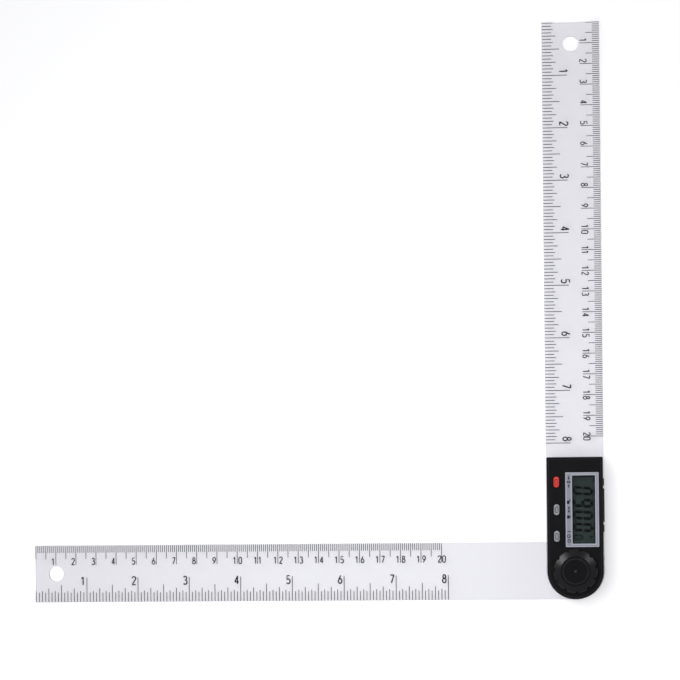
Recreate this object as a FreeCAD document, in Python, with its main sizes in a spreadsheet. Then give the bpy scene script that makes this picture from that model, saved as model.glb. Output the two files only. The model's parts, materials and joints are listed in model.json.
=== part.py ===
import FreeCAD
import Part
import os
import re
import Sketcher

# Digital angle finder with two arms: two clear blades on one pivot, a black head with the display
# on the upper blade, and a lock knob on the pivot. Millimetres, +Z up. The origin is on the pivot's
# axis at the underside of the lower blade, which lies along -X. The upper blade and head lie along +Y.

DRIVING = {
    # both blades
    "blade_reach": 265.0,
    "blade_margin": 0.5,
    "blade_thick": 2.0,
    "blade_edge": 0.2,
    "hang_hole_radius": 3.7,
    "hang_hole_inset": 10.3,
    # gaps that running, sliding and seated pieces keep
    "blade_gap": 0.4,
    "running_gap": 0.05,
    "seat_gap": 0.05,
    "slide_gap": 0.15,
    "hole_gap": 0.2,
    "overrun": 1.0,
    # pivot stud, friction washer and bushing
    "stud_flange_thick": 1.0,
    "stud_flange_lip": 3.0,
    "stud_key_half": 4.4,
    "stud_radius": 4.0,
    "stud_square_half": 2.7,
    "stud_thread_radius": 2.45,
    "spanner_hole_radius": 0.8,
    "spanner_hole_inset": 2.4,
    "spanner_hole_depth": 0.6,
    "friction_inner_radius": 6.8,
    "friction_outer_radius": 10.0,
    "friction_thick": 0.35,
    "bushing_wall": 1.95,
    "bushing_flange_lip": 1.0,
    "bushing_flange_thick": 0.5,
    # encoder rotor on its hub
    "hub_radius": 5.0,
    "hub_flange_lip": 2.0,
    "hub_flange_thick": 0.8,
    "hub_hole_gap": 0.6,
    "rotor_inset": 3.0,
    "rotor_thick": 0.8,
    "rotor_gap": 0.15,
    # head: back plate and front case
    "case_height": 8.0,
    "case_wall": 1.8,
    "case_top_wall": 1.5,
    "case_edge": 0.3,
    "case_corner": 0.6,
    "rim_inset": 0.95,
    "rim_step": 0.3,
    "rim_edge": 0.25,
    "seam_edge": 0.15,
    "plate_thick": 1.0,
    "plate_hole_gap": 0.4,
    # screws that hold blade, plate and case
    "case_screw_radius": 1.0,
    "case_screw_head_radius": 2.0,
    "case_screw_head_thick": 1.0,
    "case_screw_length": 7.0,
    "case_screw_sink": 0.1,
    "case_boss_radius": 2.1,
    "boss_side_gap": 0.8,
    "near_boss_gap": 1.2,
    "far_boss_gap": 0.8,
    "drive_slot_width": 0.4,
    # circuit board and its screws
    "board_edge_gap": 0.3,
    "board_thick": 0.8,
    "board_drop": 1.65,
    "board_screw_radius": 0.7,
    "board_screw_head_radius": 1.2,
    "board_screw_head_thick": 0.6,
    "board_screw_grip": 1.2,
    "board_post_radius": 1.5,
    "board_post_inset": 1.4,
    "board_post_end_inset": 3.0,
    "chip_size": 6.6,
    "chip_thick": 1.2,
    "chip_x": 3.0,
    # display: bezel, window, glass cell and its rubber connector
    "opening_width": 10.87,
    "opening_length": 32.6,
    "band_left": 3.3,
    "band_right": 1.85,
    "band_low": 1.7,
    "band_high": 1.55,
    "bezel_side_gap": 2.05,
    "bezel_knob_gap": 1.1,
    "bezel_end_gap": 7.35,
    "bezel_thick": 0.45,
    "bezel_recess": 0.25,
    "bezel_corner": 0.3,
    "bezel_edge": 0.12,
    "throat_margin": 0.5,
    "window_margin": 1.2,
    "window_thick": 0.8,
    "cell_margin": 1.4,
    "cell_thick": 1.0,
    "connector_width": 1.2,
    "connector_inset": 0.2,
    # three push buttons and their switches
    "button_radius": 1.3,
    "button_length": 5.2,
    "button_side_gap": 3.42,
    "button_bezel_gap": 2.91,
    "zero_button_inset": 4.6,
    "power_button_inset": 5.25,
    "button_proud": 0.7,
    "button_flange": 0.45,
    "button_flange_thick": 0.4,
    "button_edge": 0.3,
    "dimple_radius": 0.65,
    "dimple_length": 2.8,
    "dimple_depth": 0.25,
    "button_travel": 0.25,
    "switch_half": 1.8,
    "switch_height": 0.55,
    "switch_floor": 0.05,
    "plunger_radius": 0.8,
    "plunger_height": 0.6,
    # battery drawer, cell and its two contacts
    "coin_radius": 10.0,
    "coin_thick": 3.2,
    "coin_rim": 0.25,
    "coin_step": 1.0,
    "coin_front_gap": 1.5,
    "drawer_shift": 2.0,
    "drawer_floor": 0.3,
    "tray_end_gap": 1.4,
    "tray_side": 1.0,
    "tray_height": 3.45,
    "tray_window": 8.0,
    "tray_window_depth": 5.0,
    "slot_gap": 0.35,
    "front_lip": 1.8,
    "front_height": 4.8,
    "front_thick": 1.1,
    "grip_proud": 0.6,
    "grip_margin": 0.5,
    "grip_edge": 0.2,
    "bump_length": 3.4,
    "bump_proud": 0.5,
    "finger_notch": 1.35,
    "contact_thick": 0.3,
    "contact_gap": 0.1,
    "contact_width": 4.0,
    "contact_length": 10.0,
    "contact_foot": 0.8,
    # lock knob, its threaded insert, cap and washer
    "knob_radius": 10.4,
    "knob_gap": 0.3,
    "knob_height": 3.3,
    "knob_skirt": 1.3,
    "knob_face_rim": 0.4,
    "knob_round": 0.5,
    "scallop_radius": 0.9,
    "scallop_depth": 0.75,
    "knob_relief_inner": 6.0,
    "knob_relief_wall": 1.4,
    "knob_relief_depth": 1.0,
    "insert_radius": 4.6,
    "insert_height": 2.5,
    "thread_top_gap": 0.5,
    "cap_inset": 3.6,
    "cap_thick": 0.5,
    "cap_ring_radius": 6.2,
    "cap_ring_width": 0.4,
    "cap_ring_depth": 0.15,
    "cap_dimple_radius": 0.8,
    "washer_thick": 0.3,
    "washer_inner_gap": 0.25,
}

# Counts, turns in degrees, shares and a tolerance in millimetres
SCALLOPS = 11
FIRST_SCALLOP_TURN = 12
QUARTER_TURN = 90
DRIVE_SLOT_SHARE = 0.6
DRIVE_DEPTH_SHARE = 0.5
LEVEL_TOLERANCE = 1e-4

# A formula for nought, and the pivot's place in a sketch
ZERO = "0"
ORIGIN = (ZERO, ZERO)

# Sizes worked out from the driving ones, as formulas of the sheet
DERIVED = {
    # across the head: side gap, button, gap, bezel and side gap add up to the case's width
    "bezel_width": "=band_left + opening_width + band_right",
    "button_lane": "=button_side_gap + 2 * button_radius + button_bezel_gap",
    "case_radius": "=(button_lane + bezel_width + bezel_side_gap) / 2",
    "case_inner_radius": "=case_radius - case_wall",
    "blade_half": "=case_radius + blade_margin",
    "bezel_x": "=case_radius - bezel_side_gap - bezel_width / 2",
    "opening_x": "=case_radius - bezel_side_gap - band_right - opening_width / 2",
    "button_x": "=case_radius - button_side_gap - button_radius",
    "boss_x": "=case_inner_radius - case_boss_radius - boss_side_gap",
    # along the head, from the knob to the far end
    "bezel_low": "=knob_radius + bezel_knob_gap",
    "bezel_length": "=band_low + opening_length + band_high",
    "bezel_high": "=bezel_low + bezel_length",
    "bezel_y": "=bezel_low + bezel_length / 2",
    "opening_y": "=bezel_low + band_low + opening_length / 2",
    "case_reach": "=bezel_high + bezel_end_gap",
    "case_inner_reach": "=case_reach - case_wall",
    "cell_low": "=bezel_low + band_low - cell_margin",
    "near_boss_y": "=cell_low - near_boss_gap - case_boss_radius",
    "far_boss_y": "=case_inner_reach - far_boss_gap - case_boss_radius",
    "board_post_near": "=(case_inner_radius - board_post_inset) / sqrt(2)",
    "board_post_far_y": "=case_inner_reach - board_post_end_inset",
    "zero_button_y": "=bezel_high - zero_button_inset",
    "hold_button_y": "=opening_y",
    "power_button_y": "=bezel_low + power_button_inset",
    "hang_hole_y": "=blade_reach - hang_hole_inset",
    # up through the stack
    "upper_bottom": "=blade_thick + blade_gap",
    "upper_top": "=upper_bottom + blade_thick",
    "plate_top": "=upper_top + plate_thick",
    "case_screw_tip": "=upper_bottom + case_screw_sink + case_screw_length",
    "case_top": "=plate_top + case_height",
    "case_ceiling": "=case_top - case_top_wall",
    "board_top": "=case_ceiling - board_drop",
    "board_bottom": "=board_top - board_thick",
    "bezel_bottom": "=case_top - bezel_recess",
    "window_bottom": "=bezel_bottom - window_thick",
    "cell_bottom": "=case_ceiling - cell_thick",
    "cell_left": "=opening_x - opening_width / 2 - cell_margin",
    "cap_flange_bottom": "=board_top + switch_floor + button_travel + seat_gap + plunger_height",
    "plunger_bottom": "=cap_flange_bottom - plunger_height",
    # pivot
    "stud_flange_radius": "=stud_radius + stud_flange_lip",
    "spanner_hole_place": "=stud_flange_radius - spanner_hole_inset",
    "bushing_radius": "=stud_radius + running_gap + bushing_wall",
    "bushing_flange_radius": "=bushing_radius + bushing_flange_lip",
    "hub_bottom": "=upper_top + bushing_flange_thick + running_gap",
    "hub_top": "=case_top - seat_gap",
    "hub_flange_radius": "=hub_radius + hub_flange_lip",
    "hub_hole_radius": "=hub_radius + hub_hole_gap",
    "rotor_radius": "=case_inner_radius - rotor_inset",
    "rotor_bottom": "=board_bottom - rotor_gap - rotor_thick",
    # battery drawer
    "tray_width": "=2 * (coin_radius + tray_side)",
    "tray_end": "=case_inner_radius - tray_end_gap",
    "front_inner": "=case_radius - front_thick",
    "coin_x": "=front_inner - coin_front_gap - coin_radius",
    "drawer_y": "=opening_y + drawer_shift",
    "drawer_bottom": "=plate_top + slide_gap",
    "coin_bottom": "=drawer_bottom + drawer_floor",
    "coin_top": "=coin_bottom + coin_thick",
    "tray_top": "=drawer_bottom + tray_height",
    "front_length": "=tray_width + 2 * front_lip",
    "grip_length": "=front_length - 2 * (bump_length + finger_notch)",
    "chip_y": "=(near_boss_y + case_boss_radius + drawer_y - tray_width / 2) / 2",
    # knob
    "washer_bottom": "=case_top",
    "washer_top": "=washer_bottom + washer_thick",
    "knob_bottom": "=case_top + knob_gap",
    "knob_top": "=knob_bottom + knob_height",
    "cap_radius": "=knob_radius - cap_inset",
    "cap_bottom": "=knob_top - cap_thick",
    "knob_face_radius": "=cap_radius + knob_face_rim",
    "knob_relief_outer": "=knob_radius - knob_relief_wall",
    "scallop_place": "=knob_radius + scallop_radius - scallop_depth",
    "scallop_x": f"=scallop_place * cos({FIRST_SCALLOP_TURN})",
    "scallop_y": f"=scallop_place * sin({FIRST_SCALLOP_TURN})",
    "insert_bottom": "=washer_top + running_gap",
    "insert_bore": "=stud_thread_radius + running_gap",
    "stud_thread_end": "=cap_bottom - thread_top_gap",
}

doc = FreeCAD.newDocument("AngleFinder")
sheet = doc.addObject("Spreadsheet::Sheet", "Sizes")
for row, (alias, content) in enumerate([*DRIVING.items(), *DERIVED.items()], start=1):
    sheet.set(f"A{row}", alias)
    sheet.set(f"B{row}", str(content))
    sheet.setAlias(f"B{row}", alias)
doc.recompute()

parts = []


def bound(formula):
    """The formula with every word read from the sheet."""
    return re.sub(r"\b([a-z]\w+)", r"Sizes.\1", formula)


def value(formula):
    """The number that a formula of sheet words gives now."""
    return float(sheet.evalExpression(bound(formula)))


def new_body(label, x="", y="", z=""):
    """A part body whose placement follows the given formulas."""
    body = doc.addObject("PartDesign::Body", label)
    body.Label = label
    for axis, formula in (("x", x), ("y", y), ("z", z)):
        if formula:
            body.setExpression(f"Placement.Base.{axis}", bound(formula))
    parts.append(body)
    return body


def origin_feature(body, role):
    """The body's own origin plane or axis of that role."""
    return next(feature for feature in body.Origin.OriginFeatures if feature.Role == role)


def new_sketch(body, height="", plane="XY_Plane"):
    """A sketch on one of the body's origin planes, raised by a formula."""
    sketch = body.newObject("Sketcher::SketchObject", "Sketch")
    sketch.AttachmentSupport = [(origin_feature(body, plane), "")]
    sketch.MapMode = "FlatFace"
    if height:
        sketch.setExpression("AttachmentOffset.Base.z", bound(height))
    return sketch


def size(sketch, constraint, formula):
    """Adds one dimension to the sketch and binds it to the sheet."""
    number = sketch.addConstraint(constraint)
    sketch.setExpression(f"Constraints[{number}]", bound(formula))


def pin(sketch, element, point, x, y):
    """Holds a sketch point at two formulas from the sketch's origin."""
    size(sketch, Sketcher.Constraint("DistanceX", -1, 1, element, point, value(x)), x)
    size(sketch, Sketcher.Constraint("DistanceY", -1, 1, element, point, value(y)), y)


def draw_polygon(sketch, corners):
    """A closed outline through corners given as pairs of formulas."""
    points = [FreeCAD.Vector(value(x), value(y), 0) for x, y in corners]
    first = sketch.GeometryCount
    for start, end in zip(points, points[1:] + points[:1]):
        sketch.addGeometry(Part.LineSegment(start, end))
    for step, (x, y) in enumerate(corners):
        following = first + (step + 1) % len(corners)
        sketch.addConstraint(Sketcher.Constraint("Coincident", first + step, 2, following, 1))
        pin(sketch, first + step, 1, x, y)


def draw_rectangle(sketch, x, y, width, length):
    """A rectangle about a centre point."""
    left, right = f"{x} - ({width}) / 2", f"{x} + ({width}) / 2"
    low, high = f"{y} - ({length}) / 2", f"{y} + ({length}) / 2"
    draw_polygon(sketch, [(left, low), (right, low), (right, high), (left, high)])


def draw_circle(sketch, x, y, radius):
    """A circle at a centre point."""
    centre = FreeCAD.Vector(value(x), value(y), 0)
    element = sketch.addGeometry(Part.Circle(centre, FreeCAD.Vector(0, 0, 1), value(radius)))
    pin(sketch, element, 3, x, y)
    size(sketch, Sketcher.Constraint("Radius", element, value(radius)), radius)


def draw_tongue(sketch, radius, reach):
    """A blade's outline: a round end about the pivot, straight sides and a square far end."""
    wide, far = value(radius), value(reach)
    corners = [FreeCAD.Vector(*xy, 0) for xy in ((wide, 0), (wide, far), (-wide, far), (-wide, 0))]
    bottom = FreeCAD.Vector(0, -wide, 0)
    arc = sketch.addGeometry(Part.Arc(corners[3], bottom, corners[0]))
    sides = [sketch.addGeometry(Part.LineSegment(*pair)) for pair in zip(corners, corners[1:])]
    pin(sketch, arc, 3, ZERO, ZERO)
    sketch.addConstraint(Sketcher.Constraint("Tangent", arc, 2, sides[0], 1))
    sketch.addConstraint(Sketcher.Constraint("Coincident", sides[0], 2, sides[1], 1))
    sketch.addConstraint(Sketcher.Constraint("Coincident", sides[1], 2, sides[2], 1))
    sketch.addConstraint(Sketcher.Constraint("Tangent", sides[2], 2, arc, 1))
    sketch.addConstraint(Sketcher.Constraint("Vertical", sides[0]))
    sketch.addConstraint(Sketcher.Constraint("Horizontal", sides[1]))
    sketch.addConstraint(Sketcher.Constraint("Vertical", sides[2]))
    size(sketch, Sketcher.Constraint("Radius", arc, wide), radius)
    size(sketch, Sketcher.Constraint("DistanceY", -1, 1, sides[1], 1, far), reach)


def draw_stadium(sketch, x, y, radius, length):
    """A slot shape that stands along Y, with round ends."""
    middle_x, middle_y = value(x), value(y)
    wide = value(radius)
    half = value(f"({length}) / 2") - wide
    up = FreeCAD.Vector(0, 0, 1)
    top = FreeCAD.Vector(middle_x, middle_y + half, 0)
    low = FreeCAD.Vector(middle_x, middle_y - half, 0)
    side = FreeCAD.Vector(wide, 0, 0)
    rise = FreeCAD.Vector(0, wide, 0)
    upper = sketch.addGeometry(Part.Arc(top + side, top + rise, top - side))
    lower = sketch.addGeometry(Part.Arc(low - side, low - rise, low + side))
    left = sketch.addGeometry(Part.LineSegment(top - side, low - side))
    right = sketch.addGeometry(Part.LineSegment(low + side, top + side))
    pin(sketch, upper, 3, x, f"{y} + ({length}) / 2 - ({radius})")
    pin(sketch, lower, 3, x, f"{y} - ({length}) / 2 + ({radius})")
    for first, point, second, other in (
        (upper, 2, left, 1), (left, 2, lower, 1), (lower, 2, right, 1), (right, 2, upper, 1),
    ):
        sketch.addConstraint(Sketcher.Constraint("Tangent", first, point, second, other))
    size(sketch, Sketcher.Constraint("Radius", upper, wide), radius)


def pad(body, bottom, height, draw, *sizes):
    """Adds what the drawn outline sweeps from bottom up through height."""
    sketch = new_sketch(body, bottom)
    draw(sketch, *sizes)
    doc.recompute()
    feature = body.newObject("PartDesign::Pad", "Pad")
    feature.Profile = sketch
    feature.setExpression("Length", bound(height))
    doc.recompute()
    return feature


def pocket(body, top, depth, draw, *sizes):
    """Cuts what the drawn outline sweeps from top down through depth, and checks that it cut."""
    before = body.Shape.Volume
    sketch = new_sketch(body, top)
    draw(sketch, *sizes)
    doc.recompute()
    feature = body.newObject("PartDesign::Pocket", "Pocket")
    feature.Profile = sketch
    feature.setExpression("Length", bound(depth))
    doc.recompute()
    if body.Shape.Volume >= before:
        raise RuntimeError(f"a pocket in {body.Label} cut nothing")
    return feature


def revolve(body, corners):
    """Turns an outline of (radius, height) corners about the body's Z axis."""
    sketch = new_sketch(body, plane="XZ_Plane")
    draw_polygon(sketch, corners)
    doc.recompute()
    feature = body.newObject("PartDesign::Revolution", "Revolution")
    feature.Profile = sketch
    feature.ReferenceAxis = (sketch, ["V_Axis"])
    doc.recompute()
    return feature


def edges_at_height(feature, height):
    """Names of the feature's edges that lie flat at one height."""
    level = value(height)
    names = []
    for number, edge in enumerate(feature.Shape.Edges, start=1):
        box = edge.BoundBox
        if abs(box.ZMin - level) < LEVEL_TOLERANCE and abs(box.ZMax - level) < LEVEL_TOLERANCE:
            names.append(f"Edge{number}")
    return names


def upright_edges(feature, place):
    """Names of the feature's upright straight edges at or beyond a place along Y."""
    names = []
    for number, edge in enumerate(feature.Shape.Edges, start=1):
        box = edge.BoundBox
        thin = max(box.XLength, box.YLength) < LEVEL_TOLERANCE
        if thin and box.ZLength > LEVEL_TOLERANCE and box.YMin > value(place) - LEVEL_TOLERANCE:
            names.append(f"Edge{number}")
    return names


def round_corners(body, radius, place):
    """Rounds the upright corners that the body has at or beyond a place along Y."""
    base = body.Tip
    feature = body.newObject("PartDesign::Fillet", "Fillet")
    feature.Base = (base, upright_edges(base, place))
    feature.setExpression("Radius", bound(radius))
    doc.recompute()


def break_edges(body, kind, width, *heights):
    """A chamfer or fillet on the flat edges that the body has now at those heights."""
    base = body.Tip
    names = [name for height in heights for name in edges_at_height(base, height)]
    feature = body.newObject(f"PartDesign::{kind}", kind)
    feature.Base = (base, names)
    feature.setExpression("Radius" if kind == "Fillet" else "Size", bound(width))
    doc.recompute()
    return feature


def screw_places():
    """Centre formulas of the four screws through blade, plate and case."""
    return [(f"{side}boss_x", y) for y in ("near_boss_y", "far_boss_y") for side in ("-", "")]


def board_screw_places():
    """Centre formulas of the three screws that hold the board."""
    near = [(f"{side}board_post_near", "-board_post_near") for side in ("-", "")]
    return near + [(ZERO, "board_post_far_y")]


def make_blade(label):
    """One clear blade with broken edges and its hang hole."""
    body = new_body(label)
    pad(body, "", "blade_thick", draw_tongue, "blade_half", "blade_reach")
    break_edges(body, "Chamfer", "blade_edge", ZERO, "blade_thick")
    pocket(body, "blade_thick + overrun", "blade_thick + 2 * overrun",
           draw_circle, ZERO, "hang_hole_y", "hang_hole_radius")
    return body


def make_lower_blade():
    """The lying blade, with the stud's round seat and square key hole."""
    body = make_blade("lower_blade")
    body.Placement.Rotation = FreeCAD.Rotation(FreeCAD.Vector(0, 0, 1), QUARTER_TURN)
    pocket(body, "stud_flange_thick", "stud_flange_thick + overrun",
           draw_circle, *ORIGIN, "stud_flange_radius + seat_gap")
    key = "2 * (stud_key_half + seat_gap)"
    pocket(body, "blade_thick + overrun", "blade_thick + 2 * overrun", draw_rectangle, *ORIGIN, key, key)


def make_upper_blade():
    """The upright blade, with its bushing hole and four counterbored screw holes."""
    body = make_blade("upper_blade")
    body.setExpression("Placement.Base.z", bound("upper_bottom"))
    pocket(body, "blade_thick + overrun", "blade_thick + 2 * overrun", draw_circle, *ORIGIN, "bushing_radius")
    for x, y in screw_places():
        pocket(body, "blade_thick + overrun", "blade_thick + 2 * overrun",
               draw_circle, x, y, "case_screw_radius + hole_gap")
        pocket(body, "case_screw_head_thick + hole_gap", "case_screw_head_thick + hole_gap + overrun",
               draw_circle, x, y, "case_screw_head_radius + hole_gap")


def make_pivot_stud():
    """Flanged stud: square key in the lower blade, journal, square for the hub, then thread."""
    body = new_body("pivot_stud")
    square = "2 * stud_square_half"
    key = "2 * stud_key_half"
    pad(body, "", "stud_flange_thick", draw_circle, *ORIGIN, "stud_flange_radius")
    pad(body, "stud_flange_thick", "blade_thick - stud_flange_thick", draw_rectangle, *ORIGIN, key, key)
    pad(body, "blade_thick", "hub_bottom - blade_thick", draw_circle, *ORIGIN, "stud_radius")
    pad(body, "hub_bottom", "hub_top - hub_bottom - seat_gap", draw_rectangle, *ORIGIN, square, square)
    pad(body, "hub_top - seat_gap", "stud_thread_end - hub_top + seat_gap",
        draw_circle, *ORIGIN, "stud_thread_radius")
    for side in ("-", ""):
        pocket(body, "spanner_hole_depth", "spanner_hole_depth + overrun",
               draw_circle, f"{side}spanner_hole_place", ZERO, "spanner_hole_radius")


def make_friction_washer():
    """Thin ring on the lower blade, round the stud's key."""
    body = new_body("friction_washer", z="blade_thick")
    pad(body, "", "friction_thick", draw_circle, *ORIGIN, "friction_outer_radius")
    pocket(body, "friction_thick + overrun", "friction_thick + 2 * overrun",
           draw_circle, *ORIGIN, "friction_inner_radius")


def make_pivot_bushing():
    """Flanged bush pressed in the upper blade, running on the stud."""
    body = new_body("pivot_bushing", z="upper_bottom")
    tall = "blade_thick + bushing_flange_thick"
    pad(body, "", "blade_thick", draw_circle, *ORIGIN, "bushing_radius")
    pad(body, "blade_thick", "bushing_flange_thick", draw_circle, *ORIGIN, "bushing_flange_radius")
    pocket(body, f"{tall} + overrun", f"{tall} + 2 * overrun",
           draw_circle, *ORIGIN, "stud_radius + running_gap")


def make_rotor_hub():
    """Sleeve on the stud's square that carries the rotor and takes the knob's push."""
    body = new_body("rotor_hub")
    square = "2 * (stud_square_half + seat_gap)"
    pad(body, "hub_bottom", "hub_top - hub_bottom", draw_circle, *ORIGIN, "hub_radius")
    pad(body, "rotor_bottom - hub_flange_thick", "hub_flange_thick",
        draw_circle, *ORIGIN, "hub_flange_radius")
    pocket(body, "hub_top + overrun", "hub_top - hub_bottom + 2 * overrun",
           draw_rectangle, *ORIGIN, square, square)


def make_rotor_disc():
    """Encoder rotor on the hub's flange, just under the board."""
    body = new_body("rotor_disc", z="rotor_bottom")
    pad(body, "", "rotor_thick", draw_circle, *ORIGIN, "rotor_radius")
    pocket(body, "rotor_thick + overrun", "rotor_thick + 2 * overrun",
           draw_circle, *ORIGIN, "hub_radius + seat_gap")


def make_back_plate():
    """Flat plate between the upper blade and the case."""
    body = new_body("back_plate", z="upper_top")
    pad(body, "", "plate_thick", draw_tongue, "case_radius", "case_reach")
    round_corners(body, "case_corner", "case_reach")
    break_edges(body, "Chamfer", "seam_edge", ZERO, "plate_thick")
    pocket(body, "plate_thick + overrun", "plate_thick + 2 * overrun",
           draw_circle, *ORIGIN, "bushing_flange_radius + plate_hole_gap")
    for x, y in screw_places():
        pocket(body, "plate_thick + overrun", "plate_thick + 2 * overrun",
               draw_circle, x, y, "case_screw_radius + hole_gap")


def hollow_case(body):
    """Outer shell: the tongue with a shallow step round its top, hollowed from below."""
    pad(body, "plate_top", "case_height - rim_step", draw_tongue, "case_radius", "case_reach")
    round_corners(body, "case_corner", "case_reach")
    break_edges(body, "Chamfer", "case_edge", "case_top - rim_step")
    break_edges(body, "Chamfer", "seam_edge", "plate_top")
    pad(body, "case_top - rim_step", "rim_step",
        draw_tongue, "case_radius - rim_inset", "case_reach - rim_inset")
    break_edges(body, "Chamfer", "rim_edge", "case_top")
    pocket(body, "case_ceiling", "case_ceiling - plate_top + overrun",
           draw_tongue, "case_inner_radius", "case_inner_reach")


def add_case_bosses(body):
    """Four screw bosses and three board posts that hang from the case's ceiling."""
    for x, y in screw_places():
        pad(body, "plate_top", "case_ceiling - plate_top", draw_circle, x, y, "case_boss_radius")
        pocket(body, "case_screw_tip + hole_gap", "case_screw_tip + hole_gap - plate_top + overrun",
               draw_circle, x, y, "case_screw_radius + seat_gap")
    for x, y in board_screw_places():
        pad(body, "board_top", "case_ceiling - board_top", draw_circle, x, y, "board_post_radius")
        pocket(body, "board_top + board_screw_grip", "board_screw_grip + overrun",
               draw_circle, x, y, "board_screw_radius + seat_gap")


def open_case_top(body):
    """The knob's hole, the display's stepped opening and the three button holes."""
    top = "case_top + overrun"
    through = "case_top_wall + 2 * overrun"
    pocket(body, top, through, draw_circle, *ORIGIN, "hub_hole_radius")
    pocket(body, top, "bezel_recess + overrun", draw_rectangle, "bezel_x", "bezel_y",
           "bezel_width + 2 * seat_gap", "bezel_length + 2 * seat_gap")
    pocket(body, top, "case_top - window_bottom + overrun", draw_rectangle, "opening_x", "opening_y",
           "opening_width + 2 * (window_margin + seat_gap)",
           "opening_length + 2 * (window_margin + seat_gap)")
    pocket(body, top, through, draw_rectangle, "opening_x", "opening_y",
           "opening_width + 2 * throat_margin", "opening_length + 2 * throat_margin")
    for place in ("zero_button_y", "hold_button_y", "power_button_y"):
        pocket(body, top, through, draw_stadium, "-button_x", place,
               "button_radius + slide_gap", "button_length + 2 * slide_gap")


def open_case_side(body):
    """The drawer's way in through the right wall, and the shallow seat of its front."""
    pocket(body, "tray_top + slot_gap", "tray_top + slot_gap - plate_top + overrun",
           draw_rectangle, "case_radius", "drawer_y",
           "2 * (case_wall + overrun)", "tray_width + 2 * slide_gap")
    pocket(body, "drawer_bottom + front_height + slide_gap",
           "drawer_bottom + front_height + slide_gap - plate_top + overrun",
           draw_rectangle, "case_radius", "drawer_y",
           "2 * (front_thick + slide_gap)", "front_length + 2 * slide_gap")


def make_front_case():
    """The black moulded head case."""
    body = new_body("front_case")
    hollow_case(body)
    add_case_bosses(body)
    open_case_top(body)
    open_case_side(body)


def make_circuit_board():
    """Board that follows the case inside, with the pivot hole, boss holes and screw holes."""
    body = new_body("circuit_board", z="board_bottom")
    cut = ("board_thick + overrun", "board_thick + 2 * overrun")
    pad(body, "", "board_thick", draw_tongue,
        "case_inner_radius - board_edge_gap", "case_inner_reach - board_edge_gap")
    pocket(body, *cut, draw_circle, *ORIGIN, "hub_hole_radius")
    for x, y in screw_places():
        pocket(body, *cut, draw_circle, x, y, "case_boss_radius + hole_gap")
    for x, y in board_screw_places():
        pocket(body, *cut, draw_circle, x, y, "board_screw_radius + hole_gap")


def make_block(label, x, y, z, width, length, height):
    """A plain block about a centre point, standing on z."""
    body = new_body(label, x, y, z)
    pad(body, "", height, draw_rectangle, *ORIGIN, width, length)
    return body


def make_cylinder(label, x, y, bottom, radius, height):
    """A cylinder primitive bound to the sheet."""
    solid = doc.addObject("Part::Cylinder", label)
    for name, formula in (("Radius", radius), ("Height", height), ("Placement.Base.x", x),
                          ("Placement.Base.y", y), ("Placement.Base.z", bottom)):
        solid.setExpression(name, bound(formula))
    return solid


def make_box(label, x, y, bottom, width, length, height):
    """A box primitive about a centre point, bound to the sheet."""
    solid = doc.addObject("Part::Box", label)
    for name, formula in (("Length", width), ("Width", length), ("Height", height),
                          ("Placement.Base.x", f"{x} - ({width}) / 2"),
                          ("Placement.Base.y", f"{y} - ({length}) / 2"), ("Placement.Base.z", bottom)):
        solid.setExpression(name, bound(formula))
    return solid


def join(kind, label, base, tool):
    """A Part boolean of two solids."""
    result = doc.addObject(f"Part::{kind}", label)
    result.Base = base
    result.Tool = tool
    return result


def make_screw(label, x, y, bottom, name, length):
    """One screw with its head down and a cross recess in the head."""
    head = make_cylinder(f"{label}_head", x, y, bottom, f"{name}_head_radius", f"{name}_head_thick")
    shank = make_cylinder(f"{label}_shank", x, y, bottom, f"{name}_radius", length)
    screw = join("Fuse", f"{label}_blank", head, shank)
    long = f"2 * {DRIVE_SLOT_SHARE} * {name}_head_radius"
    arms = ((long, "drive_slot_width"), ("drive_slot_width", long))
    for turn, (width, length) in enumerate(arms):
        arm = make_box(f"{label}_arm_{turn}", x, y, f"{bottom} - overrun", width, length,
                       f"{DRIVE_DEPTH_SHARE} * {name}_head_thick + overrun")
        screw = join("Cut", f"{label}_cut_{turn}", screw, arm)
    return screw


def make_group(label, solids):
    """One node that holds several separate solids."""
    group = doc.addObject("Part::Compound", label)
    group.Label = label
    group.Links = solids
    parts.append(group)


def make_screws():
    """Four case screws up through the blade, and three board screws up through the board."""
    case_screws = [
        make_screw(f"case_screw_{number}", x, y, "upper_bottom + case_screw_sink",
                   "case_screw", "case_screw_length")
        for number, (x, y) in enumerate(screw_places())
    ]
    board_screws = [
        make_screw(f"board_screw_{number}", x, y, "board_bottom - board_screw_head_thick", "board_screw",
                   "board_screw_head_thick + board_thick + board_screw_grip - seat_gap")
        for number, (x, y) in enumerate(board_screw_places())
    ]
    make_group("case_screws", case_screws)
    make_group("board_screws", board_screws)


def make_display():
    """Bezel plate, clear window, glass cell and the rubber strip that joins the cell to the board."""
    bezel = make_block("display_bezel", "bezel_x", "bezel_y", "bezel_bottom",
                       "bezel_width", "bezel_length", "bezel_thick")
    round_corners(bezel, "bezel_corner", "-bezel_length / 2")
    pocket(bezel, "bezel_thick + overrun", "bezel_thick + 2 * overrun", draw_rectangle,
           "opening_x - bezel_x", "opening_y - bezel_y", "opening_width", "opening_length")
    break_edges(bezel, "Chamfer", "bezel_edge", "bezel_thick")
    make_block("display_window", "opening_x", "opening_y", "window_bottom",
               "opening_width + 2 * window_margin", "opening_length + 2 * window_margin", "window_thick")
    make_block("lcd_glass", "opening_x", "opening_y", "cell_bottom",
               "opening_width + 2 * cell_margin", "opening_length + 2 * cell_margin", "cell_thick")
    make_block("lcd_connector", "cell_left + connector_inset + connector_width / 2", "opening_y", "board_top",
               "connector_width", "opening_length", "cell_bottom - board_top")


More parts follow.
